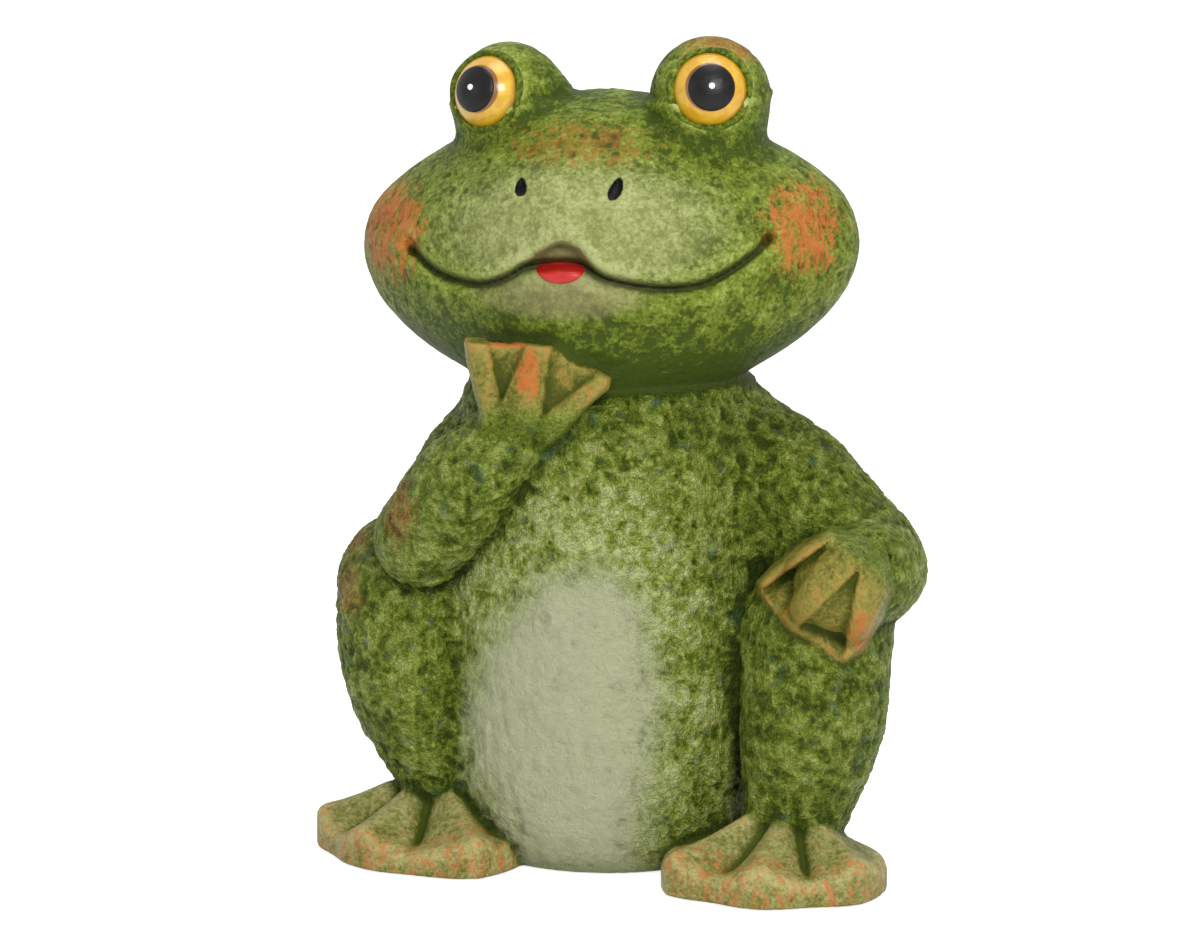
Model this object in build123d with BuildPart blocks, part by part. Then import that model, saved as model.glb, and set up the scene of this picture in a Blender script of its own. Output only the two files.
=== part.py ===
from build123d import *
import os
from math import cos, pi, sin, sqrt

# Garden figurine of a sitting frog, terracotta, hollow and open at the base.
# Millimetres, +Z up. The frog faces -Y and its own left side is +X.
# The potter's forms are luted together while the clay is soft: each form is a
# solid of its own here, and each meets its neighbours face to face.

# The clay and the cuts
clay_wall = 7.0
limb_wall = 6.0
vent_radius = 8.0
overrun = 10.0

# Torso: a pear-shaped barrel that stands on its open rim
torso_height = 178.0
torso_half_width = 60.0
torso_half_depth = 58.0
torso_rise_shares = (0.0, 0.035, 0.11, 0.22, 0.36, 0.52, 0.68, 0.80, 0.90, 0.96, 1.0)
torso_girth_shares = (0.82, 0.89, 0.95, 0.985, 1.0, 0.985, 0.955, 0.92, 0.87, 0.81, 0.70)
neck_bore_radius = 22.0
neck_bore_reach = 14.0

# Head: wide and lemon-shaped, turned and tipped towards its right hand
head_half_width = 92.0
head_half_height = 54.0
head_front = 62.0
head_back = 54.0
head_sink = 10.0
head_turn = 9.0
head_tip = 3.5
head_rise_shares = (
    -1.0, -0.93, -0.80, -0.62, -0.40, -0.20, 0.0, 0.20, 0.34, 0.50, 0.65, 0.80, 0.92, 1.0)
head_width_shares = (
    0.33, 0.47, 0.62, 0.785, 0.915, 0.98, 1.0, 0.97, 0.915, 0.80, 0.65, 0.48, 0.32, 0.12)
head_front_shares = (
    0.50, 0.64, 0.79, 0.91, 0.97, 1.0, 1.0, 0.97, 0.93, 0.85, 0.74, 0.60, 0.44, 0.20)
head_back_shares = (
    0.50, 0.62, 0.75, 0.87, 0.95, 0.99, 1.0, 0.97, 0.92, 0.83, 0.71, 0.56, 0.40, 0.18)
front_fullness = 1.6
back_fullness = 2.0
section_points = 20
limb_stations = 11

# Face: the smile and the nostrils are drawn into the soft clay with a tool
face_cut_depth = 4.0
mouth_half_width = 65.0
mouth_rise = 2.5
mouth_gap = 2.4
mouth_along_shares = (
    -1.0, -0.84, -0.66, -0.46, -0.30, -0.16, 0.0, 0.16, 0.30, 0.46, 0.66, 0.84, 1.0)
mouth_rise_shares = (
    0.05, -0.05, -0.15, -0.17, -0.12, -0.03, 0.0, -0.03, -0.12, -0.17, -0.15, -0.05, 0.05)
nostril_half_spacing = 17.0
nostril_rise = 25.0
nostril_half_width = 2.3
nostril_half_height = 4.0
tongue_drop = 4.0
tongue_half_width = 8.5
tongue_radius = 4.5
tongue_build = 2.5

# Eyes: a ball of clay on the brow holds a glossy ball in a raised lid
eye_half_spacing = 37.5
eye_offset = 5.0
eye_rise = 53.0
eye_forward = 5.0
mound_radius = 20.0
mound_width_shares = (0.8, 0.95, 1.0)
mound_depth_shares = (0.8, 1.0, 1.0)
eye_splay = 16.0
eye_look_up = 17.0
eyeball_radius = 14.5
lid_radius = 12.6
lid_thickness = 1.6
pupil_radius = 8.6
pupil_build = 0.8

# Arms and hands
left_arm_radius = 25.0
left_forearm_radius = 20.0
right_arm_radius = 18.0
right_forearm_radius = 18.0
forearm_width_shares = (1.0, 1.0, 0.85)
forearm_depth_shares = (1.0, 1.0, 0.8)
left_palm_radius = 10.5
right_palm_radius = 9.0
left_finger_radii = ((4.5, 4.2), (6.5, 5.0), (6.0, 4.2))
right_finger_radii = ((4.3, 4.1), (5.5, 4.0), (5.0, 3.9))
finger_web = 4.5
web_reach_share = 0.85

# Legs and feet
left_knee_height = 108.0
right_knee_height = 122.0
thigh_radius = 27.0
knee_radius = 27.5
left_ankle_radius = 18.0
right_ankle_radius = 13.0
left_foot_length = 48.0
right_foot_length = 36.0
foot_height = 27.0
foot_half_width = 31.5
toe_radius = 8.5
toe_bend_share = 0.55
toe_bend_rise_share = 1.2
toe_tip_rise_share = 0.45

# Places of the joints, as shares of the torso's half width, half depth and height
left_arm_shares = ((0.48, 0.06, 0.87), (1.02, 0.0, 0.76), (1.68, -0.26, 0.60))
left_forearm_shares = ((1.66, -0.10, 0.605), (1.63, -0.62, 0.635), (1.52, -1.04, 0.65))
right_arm_shares = ((-0.45, 0.16, 0.90), (-0.77, 0.0, 0.79), (-1.02, -0.42, 0.62))
right_forearm_shares = ((-1.12, -0.38, 0.60), (-0.80, -0.80, 0.76), (-0.20, -0.96, 0.92))
left_palm_shares = ((1.34, -0.94, 0.69), (1.57, -0.98, 0.665), (1.74, -0.86, 0.60))
left_finger_shares = (
    ((1.50, -1.00, 0.71), (1.26, -1.08, 0.68), (1.03, -1.06, 0.615)),
    ((1.62, -1.08, 0.68), (1.45, -1.24, 0.62), (1.27, -1.24, 0.535)),
    ((1.74, -0.98, 0.65), (1.71, -1.14, 0.56), (1.57, -1.12, 0.46)),
)
right_palm_shares = ((-0.40, -0.94, 0.93), (-0.22, -0.98, 0.91), (0.0, -0.90, 0.92))
right_finger_shares = (
    ((-0.46, -0.98, 0.93), (-0.54, -0.95, 1.02), (-0.63, -0.86, 1.115)),
    ((-0.34, -1.02, 0.94), (-0.28, -1.04, 1.02), (-0.20, -1.03, 1.10)),
    ((-0.22, -1.00, 0.915), (-0.04, -1.0, 0.955), (0.19, -0.93, 1.025)),
)

# Places of the legs: shares of the torso's half width and half depth and of the knee's height
left_thigh_shares = ((0.78, 0.66, 0.18), (1.13, 0.04, 0.62), (1.32, -0.42, 0.96))
left_shin_shares = ((1.29, -0.36, 1.0), (1.32, -0.60, 0.62), (1.20, -0.60, 0.12))
right_thigh_shares = ((-0.66, 0.78, 0.20), (-1.02, 0.24, 0.62), (-1.18, -0.12, 0.97))
right_shin_shares = ((-1.17, -0.10, 1.0), (-1.15, -0.24, 0.62), (-0.96, -0.24, 0.13))

# Feet: the ankle's place, the way the foot points, each toe's turn in degrees and its reach
left_ankle_shares = (1.20, -0.62)
right_ankle_shares = (-1.02, -0.20)
left_foot_heading = 2.0
right_foot_heading = -27.0
left_toe_turns = (-45.0, -11.0, 24.0)
right_toe_turns = (-50.0, 4.0, 50.0)
left_toe_reach_shares = (1.13, 1.0, 0.94)
right_toe_reach_shares = (1.05, 1.05, 1.2)
foot_along_shares = (-0.42, -0.20, 0.10, 0.45, 0.75, 0.92, 1.0)
foot_width_shares = (0.42, 0.62, 0.74, 0.88, 1.0, 0.98, 0.86)
foot_rise_shares = (0.55, 0.95, 1.0, 0.72, 0.47, 0.36, 0.30)
foot_fullness = 2.8


def body_point(shares):
    """A place on the figure, as shares of the torso's half width, half depth and height."""
    across, along, rise = shares
    return Vector(torso_half_width * across, torso_half_depth * along, torso_height * rise)


def leg_point(shares, knee_height):
    """A place on a leg: across and along follow the torso, up follows the knee."""
    across, along, rise = shares
    return Vector(torso_half_width * across, torso_half_depth * along, knee_height * rise)


def superellipse(half_width, front, back, front_power, back_power):
    """Closed outline whose front and back halves have their own reach and fullness."""
    points = []
    for step in range(section_points):
        turn = 2 * pi * step / section_points
        ahead = sin(turn) < 0
        power = front_power if ahead else back_power
        across = abs(cos(turn)) ** (2 / power)
        along = abs(sin(turn)) ** (2 / power)
        x = half_width * (across if cos(turn) > 0 else -across)
        y = -front * along if ahead else back * along
        points.append((x, y))
    Spline(*points, periodic=True)


def torso_form(inset):
    """Loft of level ellipses, drawn in by the inset all round and at the top."""
    sections = []
    for rise, girth in zip(torso_rise_shares, torso_girth_shares):
        with BuildSketch(Plane.XY.offset((torso_height - inset) * rise)) as ring:
            Ellipse((torso_half_width - inset) * girth, (torso_half_depth - inset) * girth)
        sections.append(ring.sketch)
    loft(sections)


def head_form(inset):
    """Loft of the head's sections, drawn in by the inset all round."""
    sections = []
    for rise, width, front, back in zip(
        head_rise_shares, head_width_shares, head_front_shares, head_back_shares
    ):
        with BuildSketch(head_frame.offset((head_half_height - inset) * rise)) as ring:
            with BuildLine():
                superellipse(
                    (head_half_width - inset) * width,
                    (head_front - inset) * front,
                    (head_back - inset) * back,
                    front_fullness,
                    back_fullness,
                )
            make_face()
        sections.append(ring.sketch)
    loft(sections)


def along_list(values, share):
    """The value at a share of the way along an evenly spaced list."""
    here = share * (len(values) - 1)
    low = min(int(here), len(values) - 2)
    return values[low] + (values[low + 1] - values[low]) * (here - low)


def limb(places, widths, depths, side):
    """Round limb: ellipses set square on a spline through the places, with domed ends."""
    path = Spline(*places, mode=Mode.PRIVATE)
    sections = [Vertex(*(path @ 0))]
    for step in range(limb_stations):
        share = (1 - cos(pi * (step + 0.5) / limb_stations)) / 2
        width = along_list(widths, share)
        depth = along_list(depths, share)
        to_end = min(share, 1 - share) * path.length
        dome = sqrt(1 - (1 - min(1, to_end / width)) ** 2)
        tangent = path % share
        plane = Plane(path @ share, x_dir=side - tangent * side.dot(tangent), z_dir=tangent)
        with BuildSketch(plane) as ring:
            Ellipse(width * dome, depth * dome)
        sections.append(ring.sketch)
    sections.append(Vertex(*(path @ 1)))
    loft(sections)


def rolls(places, root_radius, tip_radius):
    """Two rolls of clay end to end, each a cone between two balls that it touches."""
    bend_radius = (root_radius + tip_radius) / 2
    for start, end, radius, end_radius in (
        (places[0], places[1], root_radius, bend_radius),
        (places[1], places[2], bend_radius, tip_radius),
    ):
        way = end - start
        lean = (radius - end_radius) / way.length
        rise = sqrt(1 - lean ** 2)
        # each arc runs from the axis to the cone, through its own middle
        back_x, back_y = -sqrt((1 - lean) / 2), sqrt((1 + lean) / 2)
        front_x, front_y = sqrt((1 + lean) / 2), sqrt((1 - lean) / 2)
        across = Plane(start, z_dir=way)
        with BuildSketch(Plane(start, x_dir=way, z_dir=across.x_dir)) as profile:
            with BuildLine():
                ThreePointArc(
                    (-radius, 0), (radius * back_x, radius * back_y), (radius * lean, radius * rise))
                Line(
                    (radius * lean, radius * rise),
                    (way.length + end_radius * lean, end_radius * rise),
                )
                ThreePointArc(
                    (way.length + end_radius * lean, end_radius * rise),
                    (way.length + end_radius * front_x, end_radius * front_y),
                    (way.length + end_radius, 0),
                )
                Line((way.length + end_radius, 0), (-radius, 0))
            make_face()
        revolve(profile.sketch, axis=Axis(start, way))


def skin(root, tip_a, tip_b, thickness):
    """Web of skin stretched flat between two fingers."""
    plane = Plane(root, x_dir=tip_a - root, z_dir=(tip_a - root).cross(tip_b - root))
    corners = [plane.to_local_coords(place) for place in (root, tip_a, tip_b)]
    with BuildSketch(plane) as triangle:
        with BuildLine():
            Polyline(*[(corner.X, corner.Y) for corner in corners], close=True)
        make_face()
    extrude(triangle.sketch, amount=thickness / 2, both=True)


def leg_form(thigh, shin, ankle_radius):
    """A thigh from the hip up to the knee, and a shin from there down to the ankle."""
    limb(thigh, (thigh_radius,) * 2, (thigh_radius,) * 2, Vector(1, 0, 0))
    shin_radii = (knee_radius, knee_radius, ankle_radius)
    limb(shin, shin_radii, shin_radii, Vector(1, 0, 0))
    split(bisect_by=Plane.XY, keep=Keep.TOP)


def forearm_form(place_shares, radius, side):
    """A forearm that narrows and flattens towards the wrist."""
    widths = [radius * share for share in forearm_width_shares]
    depths = [radius * share for share in forearm_depth_shares]
    limb([body_point(shares) for shares in place_shares], widths, depths, side)


def hand_form(palm_shares, palm_radius, finger_shares, finger_radii):
    """Palm rolled across the wrist, with three webbed fingers."""
    fingers = [[body_point(shares) for shares in places] for places in finger_shares]
    rolls([body_point(shares) for shares in palm_shares], palm_radius, palm_radius)
    for places, (root_radius, tip_radius) in zip(fingers, finger_radii):
        rolls(places, root_radius, tip_radius)
    for near, far in zip(fingers, fingers[1:]):
        root = (near[0] + far[0]) * 0.5
        near_edge = near[1] + (near[2] - near[1]) * web_reach_share
        far_edge = far[1] + (far[2] - far[1]) * web_reach_share
        skin(root, near_edge, far_edge, finger_web)


def foot_form(ankle_shares, heading, length, toe_turns, toe_reach_shares):
    """Sloping fan of webbed skin with a ridge for each toe, flat on the ground."""
    ankle = Vector(torso_half_width * ankle_shares[0], torso_half_depth * ankle_shares[1], 0)
    ahead = Vector(0, -1, 0).rotate(Axis.Z, heading)
    sections = []
    for along, width, rise in zip(foot_along_shares, foot_width_shares, foot_rise_shares):
        plane = Plane(
            ankle + ahead * (length * along), x_dir=ahead.cross(Vector(0, 0, 1)), z_dir=ahead
        )
        with BuildSketch(plane) as ring:
            with BuildLine():
                superellipse(
                    foot_half_width * width,
                    foot_height * rise,
                    foot_height * rise,
                    foot_fullness,
                    foot_fullness,
                )
            make_face()
        sections.append(ring.sketch)
    loft(sections)
    for turn, reach in zip(toe_turns, toe_reach_shares):
        way = ahead.rotate(Axis.Z, turn)
        heel = ankle + Vector(0, 0, foot_height - toe_radius)
        bend = ankle + way * (length * reach * toe_bend_share)
        bend += Vector(0, 0, toe_radius * toe_bend_rise_share)
        tip = ankle + way * (length * reach) + Vector(0, 0, toe_radius * toe_tip_rise_share)
        rolls((heel, bend, tip), toe_radius, toe_radius)
    split(bisect_by=Plane.XY, keep=Keep.TOP)


def cut_by(*neighbours):
    """Let the forms that were there first keep their shape."""
    for neighbour in neighbours:
        add(neighbour, mode=Mode.SUBTRACT)


head_centre = Vector(0, 0, torso_height + head_half_height - head_sink)
head_frame = Plane(head_centre).rotated((0, -head_tip, -head_turn))
face_plane = Plane(head_centre, x_dir=head_frame.x_dir, z_dir=-head_frame.y_dir)

# Torso, and the hollows inside it and at the neck
with BuildPart() as torso_block:
    torso_form(0)
with BuildPart() as torso_hollow:
    torso_form(clay_wall)
with BuildPart() as neck_bore:
    with BuildSketch(Plane.XY.offset(torso_height)):
        Circle(neck_bore_radius)
    extrude(amount=neck_bore_reach, both=True)

# Legs: hollowed from the hip to the ankle, with a vent through the torso's wall for the firing
legs = {}
vents = []
for name, thigh_shares, shin_shares, knee_height, ankle_radius in (
    ("left_leg", left_thigh_shares, left_shin_shares, left_knee_height, left_ankle_radius),
    ("right_leg", right_thigh_shares, right_shin_shares, right_knee_height, right_ankle_radius),
):
    thigh = [leg_point(shares, knee_height) for shares in thigh_shares]
    shin = [leg_point(shares, knee_height) for shares in shin_shares]
    inside_knee = (thigh[-1] + shin[1]) / 2
    inside_ankle = (shin[1] + shin[-1]) / 2
    with BuildPart() as leg_hollow:
        rolls((thigh[1], inside_knee, inside_ankle), thigh_radius - limb_wall, ankle_radius - limb_wall)
    with BuildPart() as leg_block:
        leg_form(thigh, shin, ankle_radius)
    with BuildPart() as leg:
        add(leg_block.part)
        cut_by(torso_block.part, leg_hollow.part)
    with BuildPart() as vent:
        with BuildSketch(Plane((0, thigh[1].Y, thigh[1].Z), z_dir=(thigh[1].X, 0, 0))):
            Circle(vent_radius)
        extrude(amount=abs(thigh[1].X))
    legs[name] = (leg, leg_block)
    vents.append(vent.part)

with BuildPart() as torso:
    add(torso_block.part)
    cut_by(torso_hollow.part, neck_bore.part, *vents)

# Feet
feet = {}
for name, ankle_shares, heading, length, turns, reach_shares, leg_block in (
    (
        "left_foot", left_ankle_shares, left_foot_heading, left_foot_length,
        left_toe_turns, left_toe_reach_shares, legs["left_leg"][1],
    ),
    (
        "right_foot", right_ankle_shares, right_foot_heading, right_foot_length,
        right_toe_turns, right_toe_reach_shares, legs["right_leg"][1],
    ),
):
    with BuildPart() as foot:
        foot_form(ankle_shares, heading, length, turns, reach_shares)
        cut_by(torso_block.part, leg_block.part)
    feet[name] = foot

# Face: tongue, smile and nostrils
tongue_centre = head_frame.from_local_coords(
    Vector(0, tongue_radius - tongue_build - head_front, mouth_rise - tongue_drop))
with BuildPart() as tongue:
    reach = head_frame.x_dir * (tongue_half_width - tongue_radius)
    rolls((tongue_centre - reach, tongue_centre, tongue_centre + reach), tongue_radius, tongue_radius)
with BuildPart() as head_core:
    head_form(face_cut_depth)
with BuildPart() as face_cuts:
    with BuildSketch(face_plane):
        with BuildLine():
            upper = [
                (mouth_half_width * along, mouth_rise + mouth_half_width * rise + mouth_gap / 2)
                for along, rise in zip(mouth_along_shares, mouth_rise_shares)
            ]
            lower = [(across, up - mouth_gap) for across, up in upper]
            Spline(*upper)
            Spline(*lower)
            Line(upper[0], lower[0])
            Line(upper[-1], lower[-1])
        make_face()
        with Locations((-nostril_half_spacing, nostril_rise), (nostril_half_spacing, nostril_rise)):
            Ellipse(nostril_half_width, nostril_half_height)
    extrude(amount=head_front + overrun)
    cut_by(head_core.part)

# Head
with BuildPart() as head_block:
    head_form(0)
with BuildPart() as head_hollow:
    head_form(clay_wall)
    split(bisect_by=Plane.XY.offset(torso_height + clay_wall), keep=Keep.TOP)
with BuildPart() as head:
    add(head_block.part)
    cut_by(torso_block.part, head_hollow.part, neck_bore.part, face_cuts.part, tongue.part)

# Eyes
eyes = {}
for name, side in (("left", 1), ("right", -1)):
    centre = head_frame.from_local_coords(
        Vector(side * eye_half_spacing + eye_offset, -eye_forward, eye_rise))
    gaze = Vector(0, -1, 0).rotate(Axis.X, -eye_look_up).rotate(Axis.Z, side * eye_splay - head_turn)
    lid_reach = sqrt(mound_radius ** 2 - lid_radius ** 2)
    ball_centre = centre + gaze * (lid_reach - sqrt(eyeball_radius ** 2 - lid_radius ** 2))
    with BuildPart() as eyeball:
        with Locations(ball_centre):
            Sphere(eyeball_radius)
        cut_by(head_block.part)
    with BuildPart() as mound:
        crown = centre + head_frame.z_dir * mound_radius
        root = centre - head_frame.z_dir * (mound_radius * 2)
        widths = [mound_radius * share for share in mound_width_shares]
        depths = [mound_radius * share for share in mound_depth_shares]
        limb((root, centre, crown), widths, depths, head_frame.x_dir)
        with Locations(Plane(centre + gaze * lid_reach, z_dir=gaze)):
            Torus(lid_radius + lid_thickness / 2, lid_thickness)
        cut_by(eyeball.part, head_block.part)
    with BuildPart() as pupil:
        with BuildSketch(Plane(ball_centre, z_dir=gaze)):
            Circle(pupil_radius)
        extrude(amount=eyeball_radius + overrun)
        with Locations(ball_centre):
            Sphere(eyeball_radius + pupil_build, mode=Mode.INTERSECT)
            Sphere(eyeball_radius, mode=Mode.SUBTRACT)
    eyes[name] = (mound, eyeball, pupil)

# Arms
left_leg_block = legs["left_leg"][1].part
right_leg_block = legs["right_leg"][1].part
with BuildPart() as left_upper_arm:
    radii = (left_arm_radius, left_arm_radius, left_forearm_radius)
    limb([body_point(shares) for shares in left_arm_shares], radii, radii, Vector(0, 1, 0))
    cut_by(torso_block.part, head_block.part, left_leg_block)
with BuildPart() as left_forearm:
    forearm_form(left_forearm_shares, left_forearm_radius, Vector(1, 0, 0))
    cut_by(left_upper_arm.part, left_leg_block, torso_block.part)
with BuildPart() as right_upper_arm:
    radii = (right_arm_radius,) * 2
    limb([body_point(shares) for shares in right_arm_shares], radii, radii, Vector(1, 0, 0))
    cut_by(torso_block.part, head_block.part, right_leg_block)
with BuildPart() as right_forearm:
    forearm_form(right_forearm_shares, right_forearm_radius, Vector(0, 0, 1))
    cut_by(right_upper_arm.part, torso_block.part, head_block.part, right_leg_block)

# Hands
with BuildPart() as left_hand:
    hand_form(left_palm_shares, left_palm_radius, left_finger_shares, left_finger_radii)
    cut_by(left_forearm.part, left_upper_arm.part, left_leg_block, torso_block.part)
with BuildPart() as right_hand:
    hand_form(right_palm_shares, right_palm_radius, right_finger_shares, right_finger_radii)
    cut_by(torso_block.part, head_block.part, right_forearm.part)

pieces = {
    "torso": torso,
    "head": head,
    "tongue": tongue,
    "left_leg": legs["left_leg"][0],
    "right_leg": legs["right_leg"][0],
    "left_foot": feet["left_foot"],
    "right_foot": feet["right_foot"],
    "left_upper_arm": left_upper_arm,
    "right_upper_arm": right_upper_arm,
    "left_forearm": left_forearm,
    "right_forearm": right_forearm,
    "left_hand": left_hand,
    "right_hand": right_hand,
}
for side, (mound, eyeball, pupil) in eyes.items():
    pieces[side + "_eye_mound"] = mound
    pieces[side + "_eyeball"] = eyeball
    pieces[side + "_pupil"] = pupil

# The origin is on the ground, under the middle of the whole figure
boxes = [piece.part.bounding_box() for piece in pieces.values()]
middle_x = (min(box.min.X for box in boxes) + max(box.max.X for box in boxes)) / 2
middle_y = (min(box.min.Y for box in boxes) + max(box.max.Y for box in boxes)) / 2
print("torso axis stands at", round(-middle_x, 2), round(-middle_y, 2))

os.makedirs("parts", exist_ok=True)
for name, piece in pieces.items():
    piece.part.label = name
    piece.part.move(Location((-middle_x, -middle_y, 0)))
    export_step(piece.part, f"parts/{name}.step")
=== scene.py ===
import math

import bpy
import numpy as np
from mathutils import Matrix, Vector


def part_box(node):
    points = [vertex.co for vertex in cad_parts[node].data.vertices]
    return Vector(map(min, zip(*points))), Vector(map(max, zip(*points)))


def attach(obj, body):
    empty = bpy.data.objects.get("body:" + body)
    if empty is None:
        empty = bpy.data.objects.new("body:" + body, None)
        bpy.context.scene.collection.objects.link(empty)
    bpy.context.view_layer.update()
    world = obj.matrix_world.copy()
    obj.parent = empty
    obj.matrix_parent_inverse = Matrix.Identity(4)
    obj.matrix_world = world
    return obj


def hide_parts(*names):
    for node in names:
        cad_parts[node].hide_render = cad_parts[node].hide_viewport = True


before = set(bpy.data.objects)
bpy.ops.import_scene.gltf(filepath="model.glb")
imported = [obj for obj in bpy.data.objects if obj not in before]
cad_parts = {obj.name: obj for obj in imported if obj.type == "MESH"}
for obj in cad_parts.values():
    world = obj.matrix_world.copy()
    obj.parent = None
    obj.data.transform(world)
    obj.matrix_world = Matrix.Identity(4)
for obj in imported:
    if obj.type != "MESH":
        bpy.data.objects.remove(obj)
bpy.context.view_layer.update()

# A hollow terracotta garden frog, hand painted. The forms are worked out in millimetres from the
# torso's axis, with +Z up and the frog facing -Y, and every mesh is turned into metres at the end.

torso_low, torso_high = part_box("torso")
torso_axis = np.array([
    (torso_low.x + torso_high.x) * 500, (torso_low.y + torso_high.y) * 500, 0.0])


def to_frame(points):
    """Millimetres from the torso's axis turned into metres in the part's frame."""
    return (np.asarray(points, float) + torso_axis) / 1000


# Layout: the face, the hands and the painted patches are laid out on a flat sheet, seen from the
# side that the painter faced. Lengths on the sheet are in millimetres.
look_around, look_down, eye_distance = math.radians(8), math.radians(12), 2500.0


def direction(turn, lift):
    """The way that is turned from the frog's front to its left, and lifted above level."""
    return np.array([
        math.sin(turn) * math.cos(lift), -math.cos(turn) * math.cos(lift), math.sin(lift)])


toward = direction(look_around, look_down)
right = np.array([math.cos(look_around), math.sin(look_around), 0.0])
upward = np.cross(toward, right)
eye_across, eye_up = -6.4, 134.4
eye_place = eye_distance * toward + eye_across * right + eye_up * upward


def sheet_of(x, y, z):
    """Across and up on the layout sheet, in millimetres, of points seen from the painter's eye."""
    qx, qy, qz = x - eye_place[0], y - eye_place[1], z - eye_place[2]
    depth = -(qx * toward[0] + qy * toward[1] + qz * toward[2])
    scale = eye_distance / depth
    across = scale * (qx * right[0] + qy * right[1]) + eye_across
    up = scale * (qx * upward[0] + qy * upward[1] + qz * upward[2]) + eye_up
    return across, up


def smooth_step(value):
    """0 below 0 and 1 above 1, with an easy curve between."""
    t = np.clip(value, 0, 1)
    return t * t * (3 - 2 * t)


def curve_through(places, count):
    """Places joined by a smooth curve that passes through each: Catmull-Rom pieces."""
    p = np.asarray(places, float)
    p = np.vstack([2 * p[0] - p[1], p, 2 * p[-1] - p[-2]])
    out = []
    for t in np.linspace(0, len(places) - 1 - 1e-6, count):
        i = int(t)
        f = t - i
        a, b, c, d = p[i:i + 4]
        out.append(0.5 * (2 * b + (c - a) * f + (2 * a - 5 * b + 4 * c - d) * f ** 2
                          + (3 * b - a - 3 * c + d) * f ** 3))
    return np.array(out)


def hump(value, half_width):
    """1 in the middle, falling off on both sides to about a third at the half width."""
    return np.exp(-(value / half_width) ** 2)


def line_distance(place, line, widths):
    """Distance to a line of points, less the width along it. The place is X, Y and Z, or across
    and up on the sheet."""
    best = 1e3
    for a, b, wa, wb in zip(line, line[1:], widths, widths[1:]):
        way = b - a
        from_a = [c - start for c, start in zip(place, a)]
        t = np.clip(sum(d * w for d, w in zip(from_a, way)) / (way @ way), 0, 1)
        gap = np.sqrt(sum((d - t * w) ** 2 for d, w in zip(from_a, way)))
        best = np.minimum(best, gap - (wa + t * (wb - wa)))
    return best


def outline_distance(across, up, corners):
    """Distance on the sheet to a closed outline, less than 0 inside it."""
    best = np.full(np.broadcast(across, up).shape, 1e6, np.float32)
    inside = np.zeros(best.shape, bool)
    for (ax, ay), (bx, by) in zip(corners, np.roll(corners, -1, axis=0)):
        wx, wy = bx - ax, by - ay
        t = np.clip(((across - ax) * wx + (up - ay) * wy) / (wx * wx + wy * wy), 0, 1)
        best = np.minimum(best, (across - ax - t * wx) ** 2 + (up - ay - t * wy) ** 2)
        if ay != by:
            crossed = ((ay > up) != (by > up)) & (across < (bx - ax) * (up - ay) / (by - ay) + ax)
            inside ^= crossed
    return np.where(inside, -1, 1) * np.sqrt(best)


# The clay: the potter's forms are blended into one surface, as wet clay is smeared over each
# joint. Every grid point keeps the blended distance and the form that lies nearest to it.
grid_step = 1.1
grid_low = np.array([-124.0, -102.0, -3.9])
grid_high = np.array([128.0, 78.0, 303.0])
grid_axes = [np.arange(a, b, grid_step, dtype=np.float32) for a, b in zip(grid_low, grid_high)]
grid_shape = tuple(len(a) for a in grid_axes)
far = 40.0
blended = np.full(grid_shape, far, np.float32)
nearest = np.full(grid_shape, far, np.float32)
owner = np.zeros(grid_shape, np.int8)
form_names = [
    "outside", "torso_front", "torso_back", "head", "left_leg", "right_leg", "left_foot",
    "right_foot", "left_upper_arm", "right_upper_arm", "left_forearm", "right_forearm",
    "left_hand", "right_hand", "left_eye_mound", "right_eye_mound"]


def window(low, high):
    """The part of the grid between two corners, and the X, Y and Z of its points."""
    cut = []
    for line, a, b in zip(grid_axes, low, high):
        first = int(np.searchsorted(line, a))
        cut.append(slice(first, max(int(np.searchsorted(line, b)), first + 2)))
    x, y, z = (line[c] for line, c in zip(grid_axes, cut))
    return tuple(cut), x[:, None, None], y[None, :, None], z[None, None, :]


def round_edge(a, b, rounding):
    """The greater of two distances, with the edge where they meet rounded off."""
    share = np.clip(0.5 + 0.5 * (a - b) / rounding, 0, 1)
    return a * share + b * (1 - share) + rounding * share * (1 - share)


def blend_min(a, b, reach):
    """The lesser of two distances, with a fillet of about that reach where they meet."""
    share = np.clip(0.5 + 0.5 * (b - a) / reach, 0, 1)
    return b * (1 - share) + a * share - reach * share * (1 - share)


def join_form(name, cut, distance, reach):
    """Blend a form's distances into one part of the grid, and note where it is the nearest."""
    blended[cut] = blend_min(blended[cut], distance, reach)
    closer = distance < nearest[cut]
    owner[cut][closer] = form_names.index(name)
    nearest[cut] = np.minimum(nearest[cut], distance)


def add_form(name, low, high, distance, reach):
    """Blend in a form that is given as a function of X, Y and Z, and lies between two corners."""
    cut, x, y, z = window(low, high)
    join_form(name, cut, distance(x, y, z).astype(np.float32), reach)


def swept(places, radii, stations=14):
    """Round limb: the distance to a curve through the places, less a radius along the curve."""
    line = curve_through(places, stations)
    lengths = np.r_[0, np.cumsum(np.linalg.norm(np.diff(line, axis=0), axis=1))]
    shares = lengths / lengths[-1]
    size = np.interp(shares, np.linspace(0, 1, len(radii)), radii)

    margin = max(radii) + 14
    return (line.min(0) - margin, line.max(0) + margin,
            lambda x, y, z: line_distance((x, y, z), line, size))


def even(value):
    """A measure turned into a distance: divided by its own steepness."""
    slope = np.sqrt(sum(g ** 2 for g in np.gradient(value, grid_step)))
    return value / np.maximum(slope, 0.25)


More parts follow.
